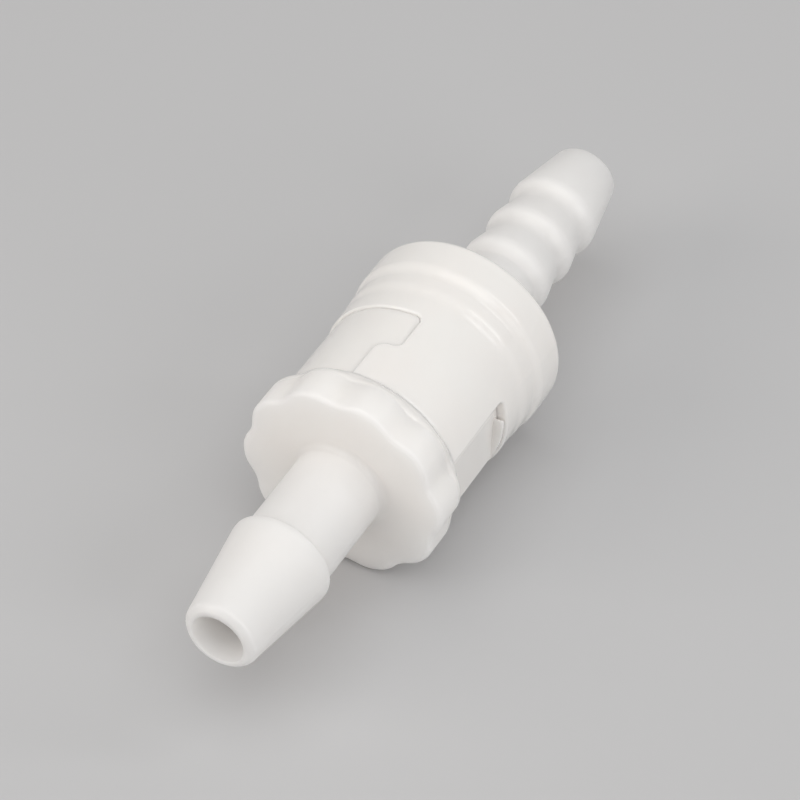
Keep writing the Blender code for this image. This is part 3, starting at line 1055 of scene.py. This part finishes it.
@dataclass
class SubAssembly(ABC):
    """A piece of the valve that stands for one CAD node.

    Attributes:
        name: Name of the piece.
        node: CAD node that it stands for.
        body: Body that it moves with.
        finish: What it is dressed in.
    """

    name: str
    node: str
    body: str
    finish: Finish

    @abstractmethod
    def shape(self, material: bpy.types.Material) -> bpy.types.Object:
        """Returns the piece's mesh as an object, given the material for the trees that set one."""

    def build(self) -> bpy.types.Object:
        """Makes the piece, dresses it and sets it in the frame.

        Returns:
            The piece.
        """
        material = self.finish.material()
        piece = self.shape(material)
        self.dress(piece, material)
        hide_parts(self.node)
        self.hang(piece)
        LOG.info("%s: %d faces on %s", piece.name, len(piece.data.polygons), self.body)
        return piece

    def dress(self, piece: bpy.types.Object, material: bpy.types.Material) -> None:
        """Gives the piece its finish's material."""
        piece.data.materials.clear()
        piece.data.materials.append(material)

    def hang(self, piece: bpy.types.Object) -> None:
        """Lets the piece move with its body."""
        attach(piece, self.body)


@dataclass
class Moulding(SubAssembly):
    """A moulded half of the valve, with thick stretches and thin-walled ones.

    Attributes:
        thin_finish: What its thin walls are dressed in.
        tail: Its hose tail.
        bayonet: The bayonet that joins it to the other half.
        chamber_radius: Radius of its part of the chamber.
        inner_edge: Rounding of its inner edges.
        lobe_count: Lobes of its grip.
        notch_depth: Depth of the scallops between them, or zero where it has no grip.
        notch_sharpness: Power that narrows the scallops.
        notch_angle: Angle of the first scallop.
        seam_height: Height of the mould's parting ridge.
        seam_angle: Angle of the ridge, which also runs along the opposite side.
        seam_width: Angle from its crest to its foot.
    """

    thin_finish: Finish
    tail: HoseTail
    bayonet: Bayonet
    chamber_radius: float = 0.00480
    inner_edge: float = 0.00012
    lobe_count: int = 1
    notch_depth: float = 0.0
    notch_sharpness: float = 1.0
    notch_angle: float = 0.0
    seam_height: float = 0.00002
    seam_angle: float = math.radians(75.0)
    seam_width: float = math.radians(1.2)

    @abstractmethod
    def corners(self) -> list[Corner]:
        """Returns the corners of the half's outline in order."""

    @abstractmethod
    def thin_stretch(self) -> tuple[float, float]:
        """Returns the stations between which the walls are thin."""

    def blank(self, material: bpy.types.Material) -> bpy.types.Object:
        """Turns the half's outline, scallops its grip and raises the parting ridge.

        Args:
            material: Material for the tree that does so.

        Returns:
            The half, still without lugs or windows.
        """
        shell = Shell()
        shell.turn(rounded_outline(self.corners()))
        piece = shell.to_object(self.name)
        moulded_rim_tree().apply(piece, {
            "Lobe Count": self.lobe_count, "Notch Depth": self.notch_depth,
            "Notch Sharpness": self.notch_sharpness, "Notch Angle": self.notch_angle,
            "Seam Height": self.seam_height, "Seam Angle": self.seam_angle, "Seam Width": self.seam_width,
        }, material)
        return piece

    def dress(self, piece: bpy.types.Object, material: bpy.types.Material) -> None:
        """Gives the piece one material for its thick walls and another for its thin ones.

        Args:
            piece: Piece to dress.
            material: Material of its thick walls.
        """
        super().dress(piece, material)
        piece.data.materials.append(self.thin_finish.material())
        start, end = self.thin_stretch()
        for face in piece.data.polygons:
            face.material_index = int(start < face.center.x < end)


@dataclass
class InletCap(Moulding):
    """The near half: hose tail, scalloped grip, and the plug with its two lugs."""

    # Grip flange, whose back slopes and laps over the gap before the sleeve
    flange_thickness: float = 0.00340
    flange_front_edge: float = 0.00040
    flange_lap: float = 0.00019
    flange_fall: float = 0.00060
    flange_back_round: float = 0.00090
    flange_foot: float = 0.00002
    flange_thin: float = 0.00095
    fall_step: float = 0.00008
    neck_fillet: float = 0.00060
    lobe_radius: float = 0.00804
    lobe_count: int = 10
    notch_depth: float = 0.00047
    notch_sharpness: float = 1.5
    notch_angle: float = math.radians(-3.0)
    seam_angle: float = math.radians(90.0)
    # Plug, with the groove of its seal and the poppet's seat
    plug_radius: float = 0.00668
    groove_radius: float = 0.00568
    groove_clearance: float = 0.00010
    seat_radius: float = 0.00345
    # Lugs, and the flats by which they rise from the plug
    lug_recess: float = 0.00020
    lug_edge: float = 0.00003
    lug_columns: int = 24
    flat_distance: float = 0.00656
    flat_turn: float = math.radians(6.5)
    flat_reach: tuple[float, float] = (-0.00350, 0.00200)
    flat_height: float = 0.00120
    flat_stop: float = 0.00040
    flat_match: float = 0.99999

    def corners(self) -> list[Corner]:
        """Finds the cap's outline.

        Returns:
            Its corners, from the bore's mouth round to the seat.
        """
        low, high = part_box(self.node)
        seal_low, seal_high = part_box("body_seal")
        back = self.bayonet.flange_back
        lap = back + self.flange_lap
        front = back - self.flange_thickness
        groove = (seal_low.x - self.groove_clearance, seal_high.x + self.groove_clearance)
        edge = self.inner_edge
        return [
            *self.tail.corners(low.x),
            Corner(front, self.tail.neck_radius, self.neck_fillet, seam=1.0),
            Corner(front, self.lobe_radius, self.flange_front_edge, grip=1.0),
            Corner(lap - self.flange_fall, self.lobe_radius, self.flange_back_round, grip=1.0,
                   step=self.fall_step),
            Corner(lap, self.bayonet.radius - self.flange_foot),
            Corner(lap, self.plug_radius),
            Corner(groove[0], self.plug_radius, edge),
            Corner(groove[0], self.groove_radius, edge),
            Corner(groove[1], self.groove_radius, edge),
            Corner(groove[1], self.plug_radius, edge),
            Corner(high.x, self.plug_radius, edge),
            Corner(high.x, self.chamber_radius, edge),
            Corner(back, self.chamber_radius, edge),
            Corner(back, self.seat_radius, edge),
            Corner(back - (self.seat_radius - self.tail.bore_radius), self.tail.bore_radius, edge),
        ]

    def shape(self, material: bpy.types.Material) -> bpy.types.Object:
        """Makes the cap: turned, scalloped, and with its lugs fused on.

        Args:
            material: Material for the tree that scallops the grip.

        Returns:
            The cap.
        """
        cap = self.blank(material)
        lug_radius = self.bayonet.radius - self.lug_recess
        levels = rounded_levels(self.groove_radius, lug_radius, self.lug_edge, Edging.DRAWN_IN)
        lugs = [self.bayonet.lug(index) for index in range(self.bayonet.count)]
        work_in(cap, [lug.solid("lug", levels, self.lug_columns) for lug in lugs], Joining.FUSE)
        work_in(cap, [self.flat(lug) for lug in lugs], Joining.CUT)
        # The flats and the walls that they end at are shaded as planes
        facings = [*(self.flat_way(lug) for lug in lugs), Vector((-1.0, 0.0, 0.0))]
        for face in cap.data.polygons:
            behind = face.center.x > self.bayonet.flange_back
            if behind and any(face.normal.dot(way) > self.flat_match for way in facings):
                face.use_smooth = False
        return cap

    def thin_stretch(self) -> tuple[float, float]:
        """Returns the stations between which the walls are thin: the flange's back and the plug."""
        return self.bayonet.flange_back + self.flange_lap - self.flange_thin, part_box(self.node)[1].x

    def flat_way(self, lug: BayonetStrip) -> Vector:
        """Returns the direction that a lug's flat faces."""
        angle = lug.start + self.flat_turn
        return Vector((0.0, -math.sin(angle), math.cos(angle)))

    def flat(self, lug: BayonetStrip) -> bpy.types.Object:
        """Makes the block that cuts the flat by which a lug rises from the plug.

        Args:
            lug: Strip that the lug fills.

        Returns:
            The block, from the flange to where the lug has its full height.
        """
        start = self.bayonet.flange_back + self.flange_lap + self.bayonet.clearance
        end = lug.back - self.flat_stop
        near, far = self.flat_reach
        size = Vector((end - start, far - near, self.flat_height))
        middle = Vector(((start + end) / 2, (near + far) / 2, self.flat_distance + self.flat_height / 2))
        turn = Matrix.Rotation(lug.start + self.flat_turn, 4, "X")
        place = turn @ Matrix.Translation(middle) @ Matrix.Diagonal(size).to_4x4()
        shell = Shell()
        bmesh.ops.create_cube(shell.shape, matrix=place)
        return shell.to_object("flat")


@dataclass
class OutletBody(Moulding):
    """The far half: sleeve with its windows, collar, band and hose tail."""

    # Sleeve, and the windows in it
    sleeve_wall: float = 0.00080
    sleeve_edge: float = 0.00004
    sleeve_step: float = 0.00035
    lead_fall: float = 0.00002
    lead_length: float = 0.00024
    lead_round: float = 0.00080
    window_edge: float = 0.00020
    # Collar and band, whose lengths are counted from the end
    collar_rise: float = 0.00012
    collar_length: float = 0.00510
    collar_slope: float = 0.00070
    collar_round: float = 0.00250
    band_rise: float = 0.00026
    band_length: float = 0.00310
    band_slope: float = 0.00070
    band_round: float = 0.00120
    rim_round: float = 0.00060
    # End wall, and the shoulder that the guide stands on
    tail_fillet: float = 0.00040
    end_wall: float = 0.00130
    guide_gap: float = 0.00015

    def corners(self) -> list[Corner]:
        """Finds the body's outline.

        Returns:
            Its corners, from the sleeve's front round to its bore.
        """
        low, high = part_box(self.node)
        sleeve = self.bayonet.radius
        bore = sleeve - self.sleeve_wall
        collar = sleeve + self.collar_rise
        band = collar + self.band_rise
        end = high.x - self.tail.length
        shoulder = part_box("spring_guide")[1].x + self.guide_gap
        edge = self.inner_edge
        return [
            Corner(low.x, bore, edge),
            Corner(low.x, sleeve - self.lead_fall, self.sleeve_edge),
            Corner(low.x + self.lead_length, sleeve, self.lead_round, step=self.sleeve_step),
            Corner(end - self.collar_length - self.collar_slope, sleeve, self.collar_round),
            Corner(end - self.collar_length, collar, self.collar_round, seam=1.0),
            Corner(end - self.band_length - self.band_slope, collar, self.band_round, seam=1.0),
            Corner(end - self.band_length, band, self.band_round, seam=1.0),
            Corner(end, band, self.rim_round, seam=1.0),
            Corner(end, self.tail.neck_radius, self.tail_fillet, seam=1.0),
            *reversed(self.tail.corners(high.x)),
            Corner(end - self.end_wall, self.tail.bore_radius, edge),
            Corner(end - self.end_wall, self.chamber_radius, edge),
            Corner(shoulder, self.chamber_radius, edge),
            Corner(shoulder, bore, edge),
        ]

    def shape(self, material: bpy.types.Material) -> bpy.types.Object:
        """Makes the body: turned, with its parting ridge, and with its windows cut.

        Args:
            material: Material for the tree that raises the ridge.

        Returns:
            The body.
        """
        body = self.blank(material)
        radius = self.bayonet.radius
        levels = rounded_levels(radius - 2 * self.sleeve_wall, radius, self.window_edge, Edging.FLARED)
        levels.append((radius + self.sleeve_wall, levels[-1][1]))
        windows = [self.bayonet.window(index).solid(f"window_{index + 1}", levels)
                   for index in range(self.bayonet.count)]
        work_in(body, windows, Joining.CUT)
        return body

    def thin_stretch(self) -> tuple[float, float]:
        """Returns the stations between which the walls are thin: all but the hose tail."""
        low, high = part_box(self.node)
        return low.x, high.x - self.tail.length + self.tail_fillet

@dataclass
class SealRing(SubAssembly):
    """An O-ring with the fine flash of its mould on the inside and the outside."""

    flash: float = 0.00002
    flash_sharpness: int = 40
    sides: int = 32
    columns: int = 160

    def shape(self, material: bpy.types.Material) -> bpy.types.Object:
        """Makes the ring from its node's box.

        Args:
            material: Not used, because no tree makes the ring.

        Returns:
            The ring.
        """
        low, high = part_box(self.node)
        wire = (high.x - low.x) / 2
        middle = (low.x + high.x) / 2
        ring = high.z - wire
        outline = []
        for index in range(self.sides):
            angle = 2 * math.pi * index / self.sides
            thick = wire - self.flash * (1 - abs(math.cos(angle)) ** self.flash_sharpness)
            station, radius = middle + thick * math.sin(angle), ring + thick * math.cos(angle)
            outline.append(OutlinePoint(station, radius, 0.0, 0.0))
        shell = Shell()
        shell.turn(outline, self.columns)
        seal = shell.to_object(self.name)
        bake(seal)
        return seal


@dataclass
class Poppet(SubAssembly):
    """The moving plug: nose, lip, seal groove, head, spring boss and guide stem."""

    nose_radius: float = 0.00110
    lip_radius: float = 0.00219
    groove_radius: float = 0.00194
    seal_clearance: float = 0.00006
    lip_length: float = 0.00033
    head_radius: float = 0.00360
    head_thickness: float = 0.00140
    boss_radius: float = 0.00180
    boss_length: float = 0.00060
    stem_radius: float = 0.00120
    edge: float = 0.00016
    columns: int = 120

    def shape(self, material: bpy.types.Material) -> bpy.types.Object:
        """Turns the poppet about the flow axis.

        Args:
            material: Not used, because no tree makes the poppet.

        Returns:
            The poppet.
        """
        low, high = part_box(self.node)
        seal_low, seal_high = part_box("poppet_seal")
        lip_end = seal_low.x - self.seal_clearance
        head = seal_high.x + self.seal_clearance
        head_end = head + self.head_thickness
        boss_end = head_end + self.boss_length
        edge = self.edge
        corners = [
            Corner(low.x, 0.0),
            Corner(low.x, self.nose_radius, 2 * edge),
            Corner(lip_end - self.lip_length, self.lip_radius, edge),
            Corner(lip_end, self.lip_radius, edge / 2),
            Corner(lip_end, self.groove_radius, edge / 2),
            Corner(head, self.groove_radius, edge / 2),
            Corner(head, self.head_radius, edge),
            Corner(head_end, self.head_radius, edge),
            Corner(head_end, self.boss_radius, edge),
            Corner(boss_end, self.boss_radius, edge),
            Corner(boss_end, self.stem_radius, edge),
            Corner(high.x, self.stem_radius, edge),
            Corner(high.x, 0.0),
        ]
        shell = Shell()
        shell.turn(rounded_outline(corners, closed=False), self.columns, closed=False)
        poppet = shell.to_object(self.name)
        bake(poppet)
        return poppet


@dataclass
class ReturnSpring(SubAssembly):
    """The coil spring between the poppet's head and the guide."""

    joint: str
    turns: float = 6.0
    closed_turns: float = 1.0
    coil_radius: float = 0.00225
    wire_radius: float = 0.00025
    points: int = 420
    wire_sides: int = 20

    def shape(self, material: bpy.types.Material) -> bpy.types.Object:
        """Winds the spring between the ends of its node.

        Args:
            material: Material for the tree that winds it.

        Returns:
            The spring.
        """
        low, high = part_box(self.node)
        spring = Shell().to_object(self.name)
        coil_tree().apply(spring, {
            "Turns": self.turns, "Closed Turns": self.closed_turns, "Coil Radius": self.coil_radius,
            "Wire Radius": self.wire_radius, "Start": low.x + self.wire_radius,
            "End": high.x - self.wire_radius, "Points": self.points, "Wire Sides": self.wire_sides,
        }, material)
        return spring

    def hang(self, piece: bpy.types.Object) -> None:
        """Lets the spring stay with the body, with a mesh of its own.

        Args:
            piece: The spring.
        """
        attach(piece, self.body)
        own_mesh(piece)


@dataclass
class SpringGuide(SubAssembly):
    """The spoked ring that holds the spring and guides the poppet's stem."""

    ring_inner: float = 0.00480
    ring_outer: float = 0.00660
    hub_inner: float = 0.00130
    hub_outer: float = 0.00290
    edge: float = 0.00012
    spokes: int = 4
    spoke_angle: float = math.radians(45.0)
    spoke_width: float = 0.00130
    spoke_thickness: float = 0.00080
    columns: int = 120

    def shape(self, material: bpy.types.Material) -> bpy.types.Object:
        """Turns the ring and the hub, and sets the spokes between them.

        Args:
            material: Material for the tree that sets the spokes.

        Returns:
            The guide.
        """
        low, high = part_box(self.node)
        shell = Shell()
        for inner, outer in ((self.ring_inner, self.ring_outer), (self.hub_inner, self.hub_outer)):
            section = [
                Corner(low.x, inner, self.edge), Corner(low.x, outer, self.edge),
                Corner(high.x, outer, self.edge), Corner(high.x, inner, self.edge),
            ]
            shell.turn(rounded_outline(section), self.columns)
        guide = shell.to_object(self.name)
        spoke_tree().apply(guide, {
            "Count": self.spokes, "First Angle": self.spoke_angle, "Station": (low.x + high.x) / 2,
            "Inner Radius": (self.hub_inner + self.hub_outer) / 2,
            "Outer Radius": (self.ring_inner + self.ring_outer) / 2,
            "Width": self.spoke_width, "Thickness": self.spoke_thickness, "Edge": self.edge,
        }, material)
        return guide


@dataclass(frozen=True)
class Softbox:
    """A soft lamp.

    Attributes:
        name: Name of the lamp.
        way: Direction from the valve to the lamp.
        distance: Distance of the lamp.
        width: Width of its face.
        height: Height of its face.
        power: Power in watts.
        colour: Colour of its light.
    """

    name: str
    way: tuple[float, float, float]
    distance: float
    width: float
    height: float
    power: float
    colour: tuple[float, float, float] = (1.0, 1.0, 1.0)

    def build(self) -> bpy.types.Object:
        """Sets up the lamp, facing the valve, with its width along the flow axis.

        Returns:
            The lamp.
        """
        lamp = bpy.data.lights.new(self.name, "AREA")
        lamp.shape = "RECTANGLE"
        lamp.size = self.width
        lamp.size_y = self.height
        lamp.energy = self.power
        lamp.color = self.colour
        way = Vector(self.way).normalized()
        tall = way.cross(Vector((1.0, 0.0, 0.0))).normalized()
        box = linked(self.name, lamp)
        box.location = way * self.distance
        box.rotation_euler = Matrix((tall.cross(way), tall, way)).transposed().to_euler()
        return box


@dataclass(frozen=True)
class PhotoCamera:
    """The camera at the photograph's viewing angle.

    Attributes:
        azimuth: Angle of the camera's stand from -X towards -Y.
        elevation: Angle above the horizon.
        distance: Distance from the point on the flow axis that it was fitted to.
        station: Station of that point.
        image_size: Width of the image in pixels.
        focal: Focal length in pixels.
        seen_right: Pixels by which that point lies right of the image's centre.
        seen_below: Pixels by which it lies below the centre.
        sensor: Width of the sensor in millimetres.
        clip_share: Share of the distance from which on it sees anything.
    """

    azimuth: float = math.radians(29.004)
    elevation: float = math.radians(44.447)
    distance: float = 0.24282
    station: float = -0.00174
    image_size: float = 800.0
    focal: float = 3384.7
    seen_right: float = 2.83
    seen_below: float = 4.84
    sensor: float = 36.0
    clip_share: float = 0.01

    def build(self) -> bpy.types.Object:
        """Sets up the camera and makes it the scene's own.

        Returns:
            The camera.
        """
        level = math.cos(self.elevation)
        back = Vector((
            -math.cos(self.azimuth) * level, -math.sin(self.azimuth) * level, math.sin(self.elevation),
        ))
        turn = back.to_track_quat("Z", "Y")
        scale = self.distance / self.focal
        aside = turn @ Vector((-self.seen_right * scale, self.seen_below * scale, 0.0))
        lens = bpy.data.cameras.new("photo_camera")
        lens.sensor_width = self.sensor
        lens.lens = self.focal * self.sensor / self.image_size
        lens.clip_start = self.distance * self.clip_share
        camera = linked("photo_camera", lens)
        camera.location = Vector((self.station, 0.0, 0.0)) + back * self.distance + aside
        camera.rotation_mode = "QUATERNION"
        camera.rotation_quaternion = turn
        bpy.context.scene.camera = camera
        return camera


@dataclass(frozen=True)
class Studio:
    """Pale floor, soft light and the world around them.

    Attributes:
        floor: Finish of the floor.
        lamps: Soft lamps.
        floor_reach: Half of the floor's side.
        floor_parts: Faces along each of its sides.
        sky: Colour of the world.
        sky_light: Strength of the world's light on the valve.
        sky_seen: Strength of the world where the camera sees it, plainly or in a gloss.
    """

    floor: PaleFloor
    lamps: tuple[Softbox, ...]
    floor_reach: float = 3.0
    floor_parts: int = 8
    sky: Colour = (1.0, 0.99, 0.98, 1.0)
    sky_light: float = 0.30
    sky_seen: float = 0.50

    def build(self) -> None:
        """Builds the floor, the lamps and the world."""
        self._floor()
        for lamp in self.lamps:
            lamp.build()
        self._world()
        bpy.context.scene.view_settings.view_transform = "Standard"

    def _floor(self) -> None:
        """Lays the floor under the valve's lowest point."""
        shape = bmesh.new()
        parts = self.floor_parts
        bmesh.ops.create_grid(shape, x_segments=parts, y_segments=parts, size=self.floor_reach)
        bmesh.ops.translate(shape, verts=shape.verts[:], vec=(0.0, 0.0, CAD_BOX[0].z))
        mesh = bpy.data.meshes.new("pale_floor")
        shape.to_mesh(mesh)
        shape.free()
        mesh.materials.append(self.floor.material())
        floor = linked("pale_floor", mesh)

    def _world(self) -> None:
        """Sets the world's light, and a paler world where it is seen."""
        world = bpy.data.worlds.new("studio")
        world.use_nodes = True
        bpy.context.scene.world = world
        sheet = NodeSheet(world.node_tree)
        path = sheet.add("ShaderNodeLightPath").outputs
        mirrored = sheet.math("MAXIMUM", path["Is Glossy Ray"], path["Is Transmission Ray"])
        seen = sheet.math("MAXIMUM", path["Is Camera Ray"], mirrored)
        back = world.node_tree.nodes["Background"]
        sheet.feed(back.inputs["Color"], self.sky)
        sheet.feed(back.inputs["Strength"], sheet.ramp(seen, 0.0, 1.0, self.sky_light, self.sky_seen))


def valve_pieces() -> list[SubAssembly]:
    """Gathers the valve's pieces, with their finishes and the sizes that they share.

    Returns:
        The pieces, in the order in which they are built.
    """
    white = MouldedPlastic(
        "natural_white_plastic", colour=(0.935, 0.90, 0.87, 1.0), clouded=(0.92, 0.885, 0.855, 1.0),
        gloss=0.32, dull=0.40,
    )
    thin_white = replace(white, name="thin_walled_white_plastic", gloss=0.16, dull=0.22, glow_reach=0.0004)
    cream = MouldedPlastic(
        "satin_cream_plastic", colour=(0.79, 0.79, 0.76, 1.0), clouded=(0.74, 0.74, 0.71, 1.0),
        gloss=0.42, dull=0.52,
    )
    rubber = SealRubber(
        "black_seal_rubber", colour=(0.020, 0.020, 0.021, 1.0), clouded=(0.045, 0.045, 0.047, 1.0),
    )
    steel = SpringSteel(
        "drawn_spring_steel", colour=(0.62, 0.61, 0.60, 1.0), clouded=(0.48, 0.47, 0.47, 1.0),
    )
    inlet = HoseTail(
        Heading.INLET, tip_radius=0.00272, cone_length=0.00805, crest_radius=0.00389,
        neck_radius=0.00338, root_length=0.00810,
    )
    outlet = HoseTail(
        Heading.OUTLET, tip_radius=0.00255, cone_length=0.00555, crest_radius=0.00355,
        neck_radius=0.00302, root_length=0.00595, barb_count=3, barb_pitch=0.00380,
        barb_taper=0.00240, barb_land=0.00050, shoulder_run=0.00090, shoulder_round=0.00080,
        foot_round=0.00050,
    )
    flange_gap = 0.00020
    bayonet = Bayonet(radius=0.00750, flange_back=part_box("outlet_body")[0].x - flange_gap)
    return [
        InletCap("cap_moulding", "inlet_cap", "cap", white, thin_white, inlet, bayonet),
        OutletBody("body_moulding", "outlet_body", "body", white, thin_white, outlet, bayonet),
        SealRing("body_o_ring", "body_seal", "cap", rubber),
        Poppet("poppet_moulding", "poppet", "poppet", cream),
        SealRing("poppet_o_ring", "poppet_seal", "poppet", rubber),
        ReturnSpring("coil_spring", "return_spring", "body", steel, joint="poppet_slide"),
        SpringGuide("guide_moulding", "spring_guide", "body", cream),
    ]


def studio() -> Studio:
    """Gathers the studio that the valve lies in.

    Returns:
        The studio, with its floor and its lamps.
    """
    floor = PaleFloor("pale_matt_floor", colour=(0.57, 0.57, 0.575, 1.0), clouded=(0.55, 0.55, 0.555, 1.0))
    overhead = Softbox(
        "overhead_softbox", way=(-0.25, -0.08, 1.0), distance=0.42, width=0.50, height=0.55, power=1.07,
    )
    strip = Softbox(
        "side_strip", way=(0.49, -0.61, 0.62), distance=0.45, width=0.045, height=0.34, power=0.20,
    )
    front = Softbox(
        "front_fill", way=(-0.80, 0.80, 0.60), distance=0.60, width=0.35, height=0.35, power=0.98,
        colour=(1.0, 0.95, 0.90),
    )
    right = Softbox(
        "right_fill", way=(-0.30, -1.0, 0.45), distance=0.60, width=0.35, height=0.35, power=0.80,
    )
    return Studio(floor, (overhead, strip, front, right))


def main() -> None:
    """Builds the valve's pieces, then the camera and the studio."""
    logging.basicConfig(level=logging.INFO, format="%(name)s: %(message)s")
    for part in valve_pieces():
        part.build()
    PhotoCamera().build()
    studio().build()


if __name__ == "__main__":
    main()
